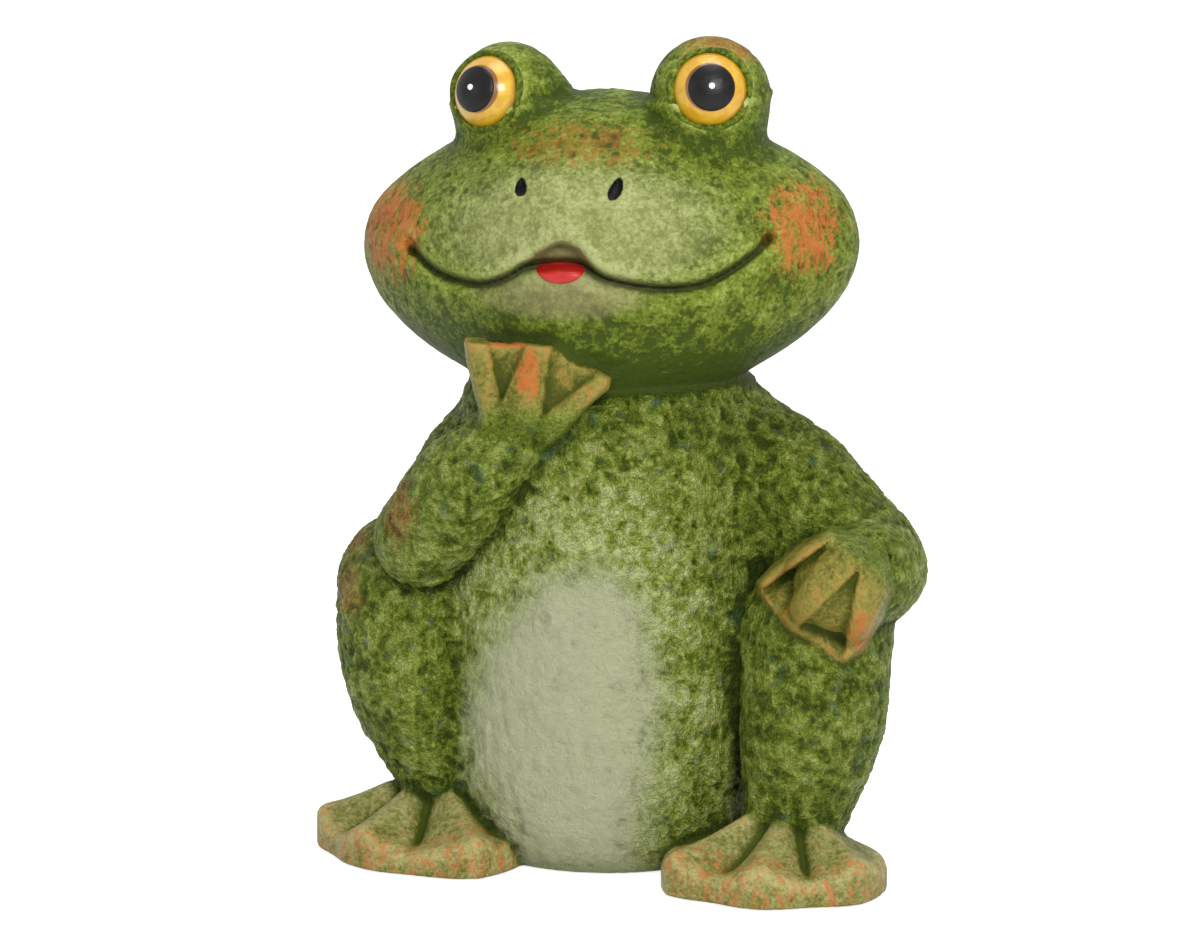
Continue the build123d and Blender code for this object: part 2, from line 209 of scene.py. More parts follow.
# Torso: a pear-shaped barrel of clay, thrown hollow, that stands on its open rim. It is parted
# into a front and a back half down its sides.
torso_height, torso_half_width, torso_half_depth, clay_wall = 178.0, 60.0, 58.0, 7.0
torso_rises = (0.0, 0.035, 0.11, 0.22, 0.36, 0.52, 0.68, 0.80, 0.90, 0.96, 1.0)
torso_girths = (0.80, 0.875, 0.945, 0.985, 1.0, 0.99, 0.965, 0.93, 0.89, 0.83, 0.70)


def torso_distance(inset):
    """Level ellipses stacked up, drawn in by the inset all round and at the top."""
    table = curve_through(np.c_[torso_rises, torso_girths], 120)

    def distance(x, y, z):
        height = torso_height - inset
        girth = np.interp(np.clip(z / height, 0, 1), table[:, 0], table[:, 1])
        round_share = np.hypot(x / (torso_half_width - inset), y / (torso_half_depth - inset))
        side = (round_share - girth) * (torso_half_depth - inset)
        return np.maximum(side, z - height)

    return distance


for name, low_y, high_y in (("torso_front", -74, 0), ("torso_back", 0, 74)):
    add_form(name, (-75, low_y, grid_low[2]), (75, high_y, 195), torso_distance(0), 0.01)

# Legs: bent rolls of clay pressed to the torso's sides, a thigh that rises to the knee and a shin
# that comes down to the ankle.
thigh_radii = (23.0, 26.0, 26.5)
legs = {
    "left_leg": (((47.0, 33.0, 24.0), (67.5, 2.0, 67.0), (77.5, -19.0, 84.0)),
                 ((77.5, -24.0, 83.0), (79.0, -35.5, 60.0), (72.5, -36.0, 22.0)), (27.5, 25.5, 18.5)),
    "right_leg": (((-40.0, 35.5, 26.0), (-60.0, 12.0, 74.0), (-69.0, -2.0, 94.0)),
                  ((-70.0, -6.0, 94.0), (-69.5, -14.5, 70.0), (-58.0, -15.0, 22.0)), (28.0, 25.0, 14.0))}
for name, (thigh, shin, shin_radii) in legs.items():
    add_form(name, *swept(thigh, thigh_radii), reach=3.0)
    add_form(name, *swept(shin, shin_radii), reach=6.0)

# Feet: each is a fan of webbed skin that slopes down from the ankle, with three toes rolled
# under it and the web pinched into a fold between two toes.
heel_rise, toe_ridge, toe_half_width = 25.0, 4.6, 7.2
web_scoop, web_half_width, fold_depth, fold_half_width = 1.8, 6.0, 3.8, 2.1
web_setback, side_taper, least_reach, sole_rounding, foot_blend = 3.0, 17.0, 20.0, 5.0, 2.0
feet = {
    "left_foot": ((72.0, -38.0), 2.0, (-52.0, -11.0, 36.0), (54.0, 50.0, 47.0), 11.0),
    "right_foot": ((-61.0, -14.0), -26.0, (-58.0, -6.0, 52.0), (44.0, 44.0, 52.0), 10.5)}


def foot_form(name, ankle, heading, toe_turns, toe_reaches, toe_rise):
    """Height over the ground as a function of the turn about the ankle and the way out to the
    toes' tips: a slope, a round ridge along each toe and a scoop in the skin between two."""
    toes = np.radians(np.array(toe_turns) + heading)
    cut, x, y, z = window((ankle[0] - 60, ankle[1] - 75, grid_low[2]),
                          (ankle[0] + 62, ankle[1] + 45, 52))
    turn = np.arctan2(x - ankle[0], -(y - ankle[1]))
    out = np.hypot(x - ankle[0], y - ankle[1])
    gaps = [((here + there) / 2, there - here) for here, there in zip(toes, toes[1:])]
    # the tips are round and the skin's edge runs a little short of them
    reach = np.interp(turn, toes, toe_reaches)
    for middle, width in gaps:
        reach = reach - web_setback * hump(turn - middle, width * 0.30)
    past = np.maximum(np.abs(turn - (toes[0] + toes[-1]) / 2) - (toes[-1] - toes[0]) / 2, 0)
    reach = np.maximum(reach - side_taper * past, least_reach)
    share = out / reach
    height = heel_rise + (toe_rise - heel_rise) * smooth_step(share * 1.02 - 0.02) ** 0.85
    for toe in toes:
        side, ahead = out * np.sin(turn - toe), out * np.cos(turn - toe) > 0
        height = height + ahead * toe_ridge * hump(side, toe_half_width) * smooth_step(out / 16)
    for middle, _ in gaps:
        side, ahead = out * np.sin(turn - middle), out * np.cos(turn - middle) > 0
        fold = fold_depth * np.exp(-np.abs(side / fold_half_width) ** 1.5)
        scoop = web_scoop * hump(side, web_half_width) + fold * smooth_step((0.95 - share) / 0.35)
        height = height - ahead * scoop * smooth_step(out / 14) * smooth_step((1.10 - share) / 0.2)
    d = round_edge((out - reach) * 0.9, z - height, sole_rounding)
    join_form(name, cut, even(d.astype(np.float32)), foot_blend)


for name, shape in feet.items():
    foot_form(name, *shape)

# Head: a wide hollow ball shaped like a lemon, turned and tipped towards the frog's right hand.
# The smile, the dimples and the nostrils are drawn into it with a tool while the clay is soft.
head_centre = np.array([0.0, 0.0, 222.0])
head_turn, head_tip = math.radians(-9), math.radians(-3.5)
head_axes = np.array(Matrix.Rotation(head_tip, 3, "Y") @ Matrix.Rotation(head_turn, 3, "Z"))
head_half_width, head_half_height, head_front, head_back = 92.0, 54.0, 62.0, 54.0
head_rises = (-1.0, -0.93, -0.80, -0.62, -0.40, -0.20, 0.0, 0.20, 0.34, 0.50, 0.65, 0.80, 0.92, 1.0)
head_widths = (0.33, 0.47, 0.62, 0.785, 0.915, 0.98, 1.0, 0.97, 0.915, 0.80, 0.65, 0.48, 0.32, 0.12)
head_fronts = (0.50, 0.64, 0.79, 0.91, 0.97, 1.0, 1.0, 0.97, 0.93, 0.85, 0.74, 0.60, 0.44, 0.20)
head_backs = (0.50, 0.62, 0.75, 0.87, 0.95, 0.99, 1.0, 0.97, 0.92, 0.83, 0.71, 0.56, 0.40, 0.18)

# the smile on the sheet: across and up in millimetres
mouth_line = curve_through((
    (-70.9, 215.1), (-61.4, 207.1), (-47.5, 203.1), (-37.6, 205.3), (-29.9, 209.6), (-20.1, 210.7),
    (-9.9, 210.4), (-2.2, 205.6), (9.1, 202.7), (21.5, 201.6), (34.3, 203.1), (44.2, 207.8),
    (53.0, 214.0), (58.1, 219.1)), 70)
mouth_widths = 0.5 * np.sin(np.linspace(0.12, math.pi - 0.12, 70)) ** 0.5
groove_depth, groove_half_width = 3.2, 1.1
bow_middle, bow_rise, bow_half_width, bow_hollow = -17.5, 7.5, 10.0, 4.6
# each roll beside the smile: how far it stands out, how far above it, half its width
upper_lip, lower_lip, chin_dip = (2.0, 4.6, 4.4), (-1.3, -1.4, 2.4), (1.0, -8.0, 5.5)
nostrils = (((-31.8, 238.5), 2.0, 3.4, 0.10), ((2.9, 237.8), 2.4, 4.2, 0.34))
nostril_depth = 2.6
dimples, dimple_depth, dimple_rim = ((-71.5, 216.5), (58.6, 220.5)), 3.2, 1.6


def bow_over(across):
    """How far the upper lip's bow lifts over the smile's line."""
    return bow_rise * hump(across - bow_middle, bow_half_width)


def bow_share(across):
    """1 in the middle of the bow, falling steeply to 0 at its ends."""
    return np.exp(-((across - bow_middle) / 12.0) ** 4)


def face_marks(across, up):
    """The smile and the nostrils on the sheet: the distance to the smile's line, the height over
    it, and a measure of each nostril's drop that is 1 at its edge."""
    gap = line_distance((across, up), mouth_line, mouth_widths)
    over = up - np.interp(across, mouth_line[:, 0], mouth_line[:, 1])
    drop = np.full(gap.shape, 99.0, np.float32)
    for (cx, cy), half_wide, half_high, lean in nostrils:
        a = (across - cx) - lean * (up - cy)
        b = (up - cy) / half_high
        wide = half_wide * (1 - 0.30 * np.clip(b, -1, 1))
        drop = np.minimum(drop, np.hypot(a / wide, b))
    return gap, over, drop


def head_distance(x, y, z):
    """Stacked rounded diamonds in the head's own axes, with the face pressed into the front."""
    q = x - head_centre[0], y - head_centre[1], z - head_centre[2]
    lx, ly, lz = (sum(q[i] * head_axes[i, axis] for i in range(3)) for axis in range(3))
    lz = lz / head_half_height
    tables = curve_through(np.c_[head_rises, head_widths, head_fronts, head_backs], 160)
    wide, front, back = (size * np.interp(np.clip(lz, -1, 1), tables[:, 0], tables[:, column])
                         for column, size in ((1, head_half_width), (2, head_front), (3, head_back)))
    ahead = ly < 0
    deep = np.where(ahead, front, back)
    power = np.where(ahead, 1.62, 2.0)
    share = (np.abs(lx / wide) ** power + np.abs(ly / deep) ** power) ** (1 / power)
    level = (np.abs(lz) - 1) * head_half_height
    d = even(np.maximum((share - 1) * 50, level * 0.9).astype(np.float32))
    across, up = sheet_of(x, y, z)
    gap, over, drop = face_marks(across, up)
    along = np.exp(-((across + 6) / 62.0) ** 4)
    bow = bow_over(across)
    # the upper lip rolls over the smile, and the bow in its middle is hollowed under it
    marks = bow_hollow * smooth_step((bow + 1.0 - over) / 3.0) * smooth_step((over + 4) / 3.5) \
        * bow_share(across)
    for (out, above, half), lift in ((upper_lip, bow), (lower_lip, 0), (chin_dip, 0)):
        marks = marks - out * hump(over - lift - above, half) * along
    marks = marks + groove_depth * hump(np.maximum(gap, 0), groove_half_width)
    for cx, cy in dimples:
        marks = marks + dimple_depth * hump(np.hypot(across - cx, up - cy), 3.0) \
            - dimple_rim * hump(np.hypot(across - cx * 1.10, up - cy - 1.0), 7.0)
    marks = marks + nostril_depth * smooth_step((1.25 - drop) / 0.8)
    return d + smooth_step((-ly - 8) / 14) * marks


add_form("head", (-108, -84, 160), (106, 70, 292), head_distance, 7.0)

# Eye mounds: a ball of clay on a short stem on each side of the brow, cut open in front for the
# eye and hollowed to seat it.
ball_forward, ball_radius, seat_radius, opening_forward = 8.9, 14.5, 13.7, 18.0
mound_stem, stem_share = 30.0, 0.86
eye_places = {}


def ball_distance(x, y, z, middle, radius):
    """Distance to a ball."""
    return np.sqrt((x - middle[0]) ** 2 + (y - middle[1]) ** 2 + (z - middle[2]) ** 2) - radius


for name, side, mound_size in (("left", 1, 20.0), ("right", -1, 19.2)):
    centre = head_centre + head_axes @ np.array([side * 37.5 + 5.0, -5.0, 53.0])
    gaze = direction(math.radians(side * 16.0 - 9.0), math.radians(17.0))
    eye_places[name] = (centre, gaze)

    def mound_distance(x, y, z, centre=centre, gaze=gaze, size=mound_size):
        behind = ball_distance(x, y, z, centre + (0, 3.0, -2.0), size)
        face = ball_distance(x, y, z, centre, size)
        stem = swept((centre - head_axes[:, 2] * mound_stem, centre), (size * stem_share,) * 2, 2)[2]
        d = blend_min(blend_min(behind, face, 4), stem(x, y, z), 8)
        seat = ball_distance(x, y, z, centre + gaze * ball_forward, seat_radius)
        opening = ball_distance(x, y, z, centre + gaze * opening_forward, seat_radius)
        return np.maximum(d, np.maximum(-seat, -opening))

    add_form(name + "_eye_mound", centre - 46, centre + 30, mound_distance, 6.5)

# Arms: rolled limbs. Each upper arm hangs from the shoulder, and each forearm comes forward from
# it to the hand. The places are along the middle, then the radii and the fillet's reach.
arms = {
    "left_upper_arm": (((34.0, 4.0, 150.0), (61.5, 0.0, 136.0), (91.0, -11.0, 113.0)),
                       (23.0, 25.0, 21.5), 13.0),
    "right_upper_arm": (((-34.0, 8.0, 150.0), (-47.0, 1.0, 142.0), (-60.0, -15.0, 122.0)),
                        (18.0, 18.5, 17.5), 7.0),
    "left_forearm": (((97.0, -13.0, 108.0), (98.0, -36.0, 111.0), (90.0, -51.0, 110.0)),
                     (20.0, 18.5, 14.0), 3.0),
    "right_forearm": (((-62.5, -33.0, 118.5), (-44.5, -46.0, 142.0), (-30.0, -48.0, 158.0)),
                      (17.5, 19.0, 14.0), 2.6)}
for name, (places, radii, reach) in arms.items():
    add_form(name, *swept(places, radii), reach=reach)

# Left hand: it lies on the knee, three fingers with a thin web between them, pressed onto the
# thigh and smoothed into the wrist.
left_outline = np.array([
    (80.7, 114.3), (70.1, 107.9), (59.2, 99.9), (54.1, 94.4), (55.0, 90.8), (63.5, 80.4), (66.5, 76.7),
    (70.4, 75.2), (76.0, 71.6), (83.3, 65.2), (87.0, 65.2), (92.8, 69.4), (99.3, 80.4), (103.7, 91.3),
    (101.2, 102.3), (92.0, 111.4)])
left_webs = (np.array([(80.5, 108.4), (56.2, 91.3), (62.5, 81.5), (65.4, 85.0)]),
             np.array([(91.4, 98.4), (69.4, 77.6), (74.5, 71.0), (83.5, 63.5), (86.4, 69.0)]))
left_domes = (((81.0, 110.5), (70.0, 104.5), (57.0, 94.0), 3.0),
              ((90.0, 104.0), (79.0, 93.0), (68.5, 80.0), 7.0),
              ((97.0, 99.0), (95.5, 84.0), (88.5, 68.0), 6.0))
finger_dome = 1.6


def laid_hand(across, up, outline, webs, domes, high, deep):
    """How far a hand stands out from what it lies on: level inside the outline, cut down in the
    webs, and domed a little along each finger."""
    rise = smooth_step(0.5 - outline_distance(across, up, outline) / 3.0)
    crown = np.zeros(rise.shape, np.float32)
    for *places, half_width in domes:
        gap = line_distance((across, up), curve_through(places, 10), np.zeros(10)) / half_width
        crown = np.maximum(crown, finger_dome * (1 - np.clip(gap, 0, 1) ** 2))
    carved = np.zeros(rise.shape, np.float32)
    for web in webs:
        carved = np.maximum(carved, smooth_step(0.5 - outline_distance(across, up, web) / 1.3))
    return np.maximum(rise * (high + crown - deep * carved), 0)


def past_left_wrist(across, up):
    """How far along the left hand a place on the sheet is, from the wrist."""
    return (across - 96) * -0.62 + (up - 108) * -0.78


cut, x, y, z = window((38, -102, 50), (116, -20, 135))
across, up = sheet_of(x, y, z)
rise = laid_hand(across, up, left_outline, left_webs, left_domes, 5.2, 2.6)
rise = rise * smooth_step((-y - 22) / 10) * smooth_step((past_left_wrist(across, up) + 4) / 13)
before = blended[cut]
blended[cut] = before - rise
hand_here = (rise > 0.6) & (np.abs(before) < 14)
owner[cut][hand_here] = form_names.index("left_hand")
nearest[cut] = np.where(hand_here, nearest[cut] - rise, nearest[cut])

# Right hand: it props up the jaw. The palm goes on from the wrist, and three webbed fingers
# stand up from it, luted to the underside of the chin.
right_outline = np.array([
    (-52.6, 181.9), (-50.8, 186.6), (-47.0, 186.8), (-44.0, 181.9), (-36.0, 181.2), (-28.5, 182.0),
    (-21.0, 181.0), (-12.0, 174.5), (-2.9, 171.0), (1.0, 168.9), (0.7, 165.1), (-8.4, 157.0),
    (-17.5, 146.8), (-25.0, 141.0), (-39.4, 141.0), (-47.0, 149.7), (-47.1, 157.0), (-49.7, 166.2),
    (-51.9, 175.3)])
right_webs = (np.array([(-44.2, 184.0), (-28.6, 184.0), (-38.9, 160.2)]),
              np.array([(-20.2, 182.0), (-2.0, 171.5), (-24.2, 154.6)]))
right_domes = (((-42.5, 150.0), (-45.0, 166.0), (-49.3, 184.5), 4.5),
               ((-31.0, 150.0), (-29.5, 166.0), (-24.8, 180.0), 6.0),
               ((-23.0, 146.0), (-12.0, 157.0), (-1.0, 167.5), 5.0))
palm_thick, palm_rounding = 7.0, 1.8


def right_hand_distance(x, y, z):
    """A thin upright plate in the outline of the hand, with the webs cut down in front."""
    across, up = sheet_of(x, y, z)
    rise = laid_hand(across, up, right_outline, right_webs, right_domes, 5.0, 2.4)
    middle = -57.5 - 1.5 * np.cos((across + 25) / 14) + (up - 165) * 0.05 \
        + 0.045 * np.maximum(160 - up, 0) ** 2
    slab = np.maximum(middle - y - rise, y - middle - palm_thick)
    return round_edge(outline_distance(across, up, right_outline), slab, palm_rounding)


add_form("right_hand", (-62, -80, 132), (10, -36, 196), right_hand_distance, 4.0)

# The barrel's inside, and the flat that everything stands on.
cut, x, y, z = window((-62, -60, grid_low[2]), (62, 60, 172))
blended[cut] = np.maximum(blended[cut], -torso_distance(clay_wall)(x, y, z))
blended[:] = np.maximum(blended, -grid_axes[2][None, None, :])
label = np.where(blended < 0, np.maximum(owner, 1), 0).astype(np.int8)


def box_blur(field, half):
    """Running mean over 2 half + 1 points along each axis in turn."""
    for axis in range(3):
        pad = [(0, 0)] * 3
        pad[axis] = (half + 1, half)
        total = np.cumsum(np.pad(field, pad, mode="edge"), axis=axis, dtype=np.float32)
        size = 2 * half + 1
        ahead = np.take(total, np.arange(size, total.shape[axis]), axis=axis)
        behind = np.take(total, np.arange(0, total.shape[axis] - size), axis=axis)
        field = (ahead - behind) / size
    return field


solid = (blended < 0).astype(np.float32)
solid[:, :, grid_axes[2] < 0] = 0.5
near_fill = box_blur(box_blur(solid, 1), 1)
wide_fill = box_blur(box_blur(solid, 3), 3)


def mean_between(field, low, high, share):
    """The field between eight of its places: from low to high by a share along each axis."""
    out = 0
    for wx, ix in ((1 - share[:, 0], low[:, 0]), (share[:, 0], high[:, 0])):
        for wy, iy in ((1 - share[:, 1], low[:, 1]), (share[:, 1], high[:, 1])):
            for wz, iz in ((1 - share[:, 2], low[:, 2]), (share[:, 2], high[:, 2])):
                out = out + wx * wy * wz * field[ix, iy, iz]
    return out


def sample(field, points):
    """The field's value at points, from the eight grid points round each."""
    q = (points - grid_low) / grid_step
    i = np.clip(np.floor(q).astype(int), 0, np.array(grid_shape) - 2)
    return mean_between(field, i, i + 1, q - i)


def net_surface():
    """One vertex in each cell that the surface or a seam runs through, at the mean of its
    crossings, and one quad across each grid edge whose ends belong to two forms."""
    corners = [(dx, dy, dz) for dx in (0, 1) for dy in (0, 1) for dz in (0, 1)]
    nx, ny, nz = grid_shape

    def views_of(field):
        return [field[dx:nx - 1 + dx, dy:ny - 1 + dy, dz:nz - 1 + dz] for dx, dy, dz in corners]

    views = views_of(label)
    mixed = np.zeros(views[0].shape, bool)
    for other in views[1:]:
        mixed |= other != views[0]
    cells = np.argwhere(mixed)
    number = np.full(mixed.shape, -1, np.int32)
    number[mixed] = np.arange(len(cells))
    marks = np.stack([v[mixed] for v in views], 1)
    depth = np.stack([v[mixed] for v in views_of(blended)], 1)
    total, seam_total = np.zeros((2, len(cells), 3))
    count, seam_count = np.zeros((2, len(cells)))
    place = np.array(corners, float)
    for a in range(8):
        for b in range(a + 1, 8):
            if sum(abs(p - q) for p, q in zip(corners[a], corners[b])) != 1:
                continue
            outer = (marks[:, a] == 0) != (marks[:, b] == 0)
            t = np.where(outer, depth[:, a] / np.where(outer, depth[:, a] - depth[:, b], 1), 0)
            t = np.clip(t, 0.02, 0.98)[:, None]
            total += outer[:, None] * (place[a] * (1 - t) + place[b] * t)
            count += outer
            seam = ~outer & (marks[:, a] != marks[:, b])
            seam_total += seam[:, None] * (place[a] + place[b]) / 2
            seam_count += seam
    outer_cell = count > 0
    where = np.where(outer_cell[:, None], total / np.maximum(count, 1)[:, None],
                     seam_total / np.maximum(seam_count, 1)[:, None])
    points = grid_low + (cells + where) * grid_step
    quads, ends = [], []
    for axis, (one, two) in ((0, (1, 2)), (1, (2, 0)), (2, (0, 1))):
        at = np.argwhere(np.diff(label, axis=axis) != 0)
        at = at[(at[:, one] > 0) & (at[:, two] > 0) & (at[:, one] < grid_shape[one] - 1)
                & (at[:, two] < grid_shape[two] - 1)]
        ring = []
        for back_one, back_two in ((1, 1), (0, 1), (0, 0), (1, 0)):
            cell = at.copy()
            cell[:, one] -= back_one
            cell[:, two] -= back_two
            ring.append(number[cell[:, 0], cell[:, 1], cell[:, 2]])
        other = at.copy()
        other[:, axis] += 1
        quads.append(np.stack(ring, 1))
        ends.append(np.stack([label[tuple(at.T)], label[tuple(other.T)]], 1))
    return points, outer_cell, np.concatenate(quads), np.concatenate(ends)


points, outer_cell, quads, ends = net_surface()
outer_quad = (ends == 0).any(1)
outer_quads = quads[outer_quad]
outer_quads = np.where((ends[outer_quad, 1] == 0)[:, None], outer_quads, outer_quads[:, ::-1])


def vertex_normals(p):
    """The outer surface's normal at each vertex: the mean of the quads round it."""
    a, b, c, d = (p[outer_quads[:, i]] for i in range(4))
    face = np.cross(c - a, d - b)
    total = np.stack([
        np.bincount(outer_quads.ravel(), np.repeat(face[:, i], 4), len(p)) for i in range(3)], 1)
    return total / np.maximum(np.linalg.norm(total, axis=1), 1e-9)[:, None]


normals = vertex_normals(points)

# The clay's surface: it was dabbed with a rough tool, which left curled ridges a few millimetres
# long on the body and the limbs, small pits on the head, drip-like wrinkles low on the belly, and
# smoother hands and feet. Sizes and heights are in millimetres.
coil_size, lump_sizes, pit_size, drip_size, drip_stretch = 3.0, (8.0, 4.0), 2.6, 3.8, 0.32
bend_size, bend_reach = 5.0, 2.0
# how high each kind of clay carries its coils and lumps, and how deep its pits are
rough_clay, head_clay = (0.42, 0.60, 0.45), (0.04, 0.24, 0.42)
smooth_clay, belly_clay, drip_rise = (0.02, 0.16, 0.18), (0.30, 0.80, 0.35), 0.50
belly_dents = (((-23.4, 80.4), 3.3, 4.2), ((17.2, 69.8), 3.3, 2.4))
lattice = np.random.default_rng(11).uniform(-1, 1, (32, 32, 32)).astype(np.float32)


def noise(p, size, shift=0.0):
    """Smooth lattice noise from -1 to 1 whose bumps are about that many millimetres across."""
    q = p / size + shift
    i = np.floor(q).astype(int)
    return mean_between(lattice, i & 31, (i + 1) & 31, smooth_step(q - i))


form_of = np.zeros(len(points), int)
for column in (0, 1):
    used = ends[:, column] > 0
    form_of[quads[used].ravel()] = np.repeat(ends[used, column], 4)


def belongs(*names):
    """1 at the vertices of those forms, and 0 at the others."""
    return np.isin(form_of, [form_names.index(name) for name in names]).astype(float)


def soften(values, rounds=6):
    """Even out a value over the surface: each vertex takes the mean of the quads round it."""
    weight = np.bincount(outer_quads.ravel(), minlength=len(points))
    for _ in range(rounds):
        mean = values[outer_quads].mean(1)
        total = np.bincount(outer_quads.ravel(), np.repeat(mean, 4), len(points))
        values = np.where(weight > 0, total / np.maximum(weight, 1), values)
    return values


across, up = sheet_of(*points.T)
facing = normals @ toward
front_side = smooth_step(facing * 2 + 0.3)
hollowed = torso_distance(clay_wall)(*points.T) < 1.2
head_share = soften(belongs("head", "left_eye_mound", "right_eye_mound"))
mound_share = soften(belongs("left_eye_mound", "right_eye_mound"), 12)
smooth_share = soften(belongs("left_hand", "right_hand", "left_foot", "right_foot"), 14)
foot_share = soften(belongs("left_foot", "right_foot"), 4)
torso_share = belongs("torso_front", "torso_back")
belly_outline = np.array([
    (-22.0, 96.0), (-40.5, 77.0), (-53.0, 44.6), (-48.6, 24.0), (-32.0, -12.0), (8.0, -14.0),
    (15.0, 20.0), (19.0, 52.0), (12.0, 86.0), (-2.0, 99.0)])
belly_share = soften(torso_share, 3) * front_side * smooth_step(
    0.5 - outline_distance(across, up, belly_outline) / 32)
# a paler band round the belly and up the chest: partly paint, and partly painted light on the chest
# where the head shades it
halo_and_chest_light_share = soften(torso_share, 8) * front_side * smooth_step(
    0.9 - outline_distance(across, up - 14, belly_outline) / 62)
gap, over, drop = face_marks(across, up)
face_side = head_share * smooth_step((facing - 0.05) * 3)

bend = np.stack([noise(points, bend_size, s) for s in (3.1, 9.7, 17.3)], 1) * bend_reach
coil_ridge = 1 - np.clip(np.abs(noise(points + bend, coil_size, 5.5)) / 0.32, 0, 1.6)
lumps = 0.4 * noise(points, lump_sizes[0], 1.3) + 0.6 * noise(points + bend, lump_sizes[1], 6.1)
pit = np.clip(noise(points, pit_size, 8.8) - 0.30, 0, 1) * 2.2
drips = noise(points * (1.0, 1.0, drip_stretch) + bend * 0.4, drip_size, 21.0)
rough_share = (1 - head_share) * (1 - smooth_share) * (1 - belly_share)
relief = belly_share * smooth_step((80 - up) / 60) * drip_rise * drips
for share, (coil_rise, lump_rise, pit_depth) in (
        (rough_share, rough_clay), (head_share, head_clay), (smooth_share, smooth_clay),
        (belly_share, belly_clay)):
    relief = relief + share * (coil_rise * coil_ridge + lump_rise * lumps - pit_depth * pit)
# calm beside the smile, at the nostrils, round the eyes and on the base
calm = smooth_step((gap + 0.5) / 5) * smooth_step((drop - 0.9) / 1.2)
relief = relief * np.where(face_side > 0.2, calm, 1)
for (cx, cy), half_wide, half_high in belly_dents:
    ring = np.hypot((across - cx) / half_wide, (up - cy) / half_high)
    relief += belly_share * (facing > 0) * (1.3 * hump(ring - 1, 0.32) - 0.5 * hump(ring, 0.5))
relief = np.where(hollowed | ~outer_cell, 0, relief) * smooth_step((points[:, 2] - 0.6) / 3.0)
for centre, gaze in eye_places.values():
    from_lid = np.linalg.norm(points - centre - gaze * ball_radius, axis=1)
    relief = relief * smooth_step((from_lid - ball_radius) / 5)
points = points + normals * relief[:, None]
points[:, 2] = np.maximum(points[:, 2], 0)
normals = vertex_normals(points)

# The paint's layout: where each colour was brushed, and where light and shade are painted on,
# kept on the mesh as plain shares that the paint then reads.


def patch(cx, cy, half_wide, half_high, soft=0.5):
    """A round patch on the sheet with a soft edge, on the side that faces the painter."""
    share = np.hypot((across - cx) / half_wide, (up - cy) / half_high)
    return smooth_step((1 + soft - share) / (2 * soft)) * smooth_step((facing + 0.15) * 3)


from_ankle = np.where(across > 0, *(
    np.linalg.norm(points[:, :2] - feet[name][0], axis=1) for name in ("left_foot", "right_foot")))
past_wrist = np.where(across > 20, (past_left_wrist(across, up) + 1) / 16, (up - 146) / 20)
no_mark = 20.0
paint = {
    "relief": relief,
    "open_near": np.clip((0.5 - sample(near_fill, points)) * 4, -1, 1),
    "open_wide": np.clip((0.5 - sample(wide_fill, points)) * 3, -1, 1),
    "head_share": head_share,
    "limb_share": smooth_share * np.maximum(foot_share, smooth_step(past_wrist)),
    "belly": np.clip(belly_share, 0, 1),
    "halo_and_chest_light": np.clip(halo_and_chest_light_share, 0, 1),
    "foot": foot_share,
    "base": torso_share * smooth_step((26 - points[:, 2]) / 30),
    "muzzle": head_share * patch(-9, 223, 49, 23, 0.6),
    "chin": head_share * patch(-16, 199, 30, 9, 0.6),
    # painted shade: the head darker towards its underside, and the eye mounds a little darker
    "jaw_and_mound_shade": head_share * smooth_step((209 - points[:, 2]) / 36) + 0.22 * mound_share,
    "blush": head_share * np.maximum(patch(-79, 224, 13, 19, 0.6), patch(71, 223, 15, 19, 0.6)),
    "brow": head_share * patch(-10, 254, 27, 9),
    # painted shade in the hollow under the upper lip's bow
    "bow": head_share * bow_share(across) * (facing > 0)
    * smooth_step((bow_over(across) + 1.5 - over) / 3) * smooth_step(over + 0.5),
    "elbow": patch(-76, 119, 7, 15, 0.7) * (1 - head_share),
    "toes": 0.62 * foot_share * smooth_step((from_ankle - 24) / 18),
    "fingers": smooth_share * np.maximum.reduce([
        patch(-29, 170, 5, 11), patch(-36, 181, 9, 1.6), 0.8 * patch(92, 76, 6, 9),
        0.6 * patch(66, 84, 5, 9, 0.6)]),
    "knee": np.maximum(patch(-94, 113, 8, 11, 0.7), patch(-95, 92, 6, 12, 0.7)) * (1 - head_share),
    "mound": head_share * patch(41, 289, 15, 9),
    "mouth_gap": np.where(face_side > 0.02, gap, no_mark),
    "nostril": np.where(face_side > 0.02, drop, no_mark),
    "inside": hollowed.astype(float),
}

# Paint and glaze: matt garden paint on the clay, gloss paint on the tongue and the pupils, and
# a clear glaze over the amber eyes.


def colour(code):
    """An sRGB hex code as linear red, green, blue and 1."""
    parts = [int(code[i:i + 2], 16) / 255 for i in (1, 3, 5)]
    return (*(c / 12.92 if c <= 0.04045 else ((c + 0.055) / 1.055) ** 2.4 for c in parts), 1.0)


def add_node(tree, kind, settings=None, **sockets):
    """Add a node. A socket is named, or numbered as i0, i1 and so on, and its value is a number,
    a colour or another node's output."""
    node = tree.nodes.new(kind)
    for key, value in (settings or {}).items():
        setattr(node, key, value)
    for key, value in sockets.items():
        numbered = key[0] == "i" and key[1:].isdigit()
        socket = node.inputs[int(key[1:]) if numbered else key.replace("_", " ")]
        if isinstance(value, bpy.types.NodeSocket):
            tree.links.new(value, socket)
        else:
            socket.default_value = value
    return node


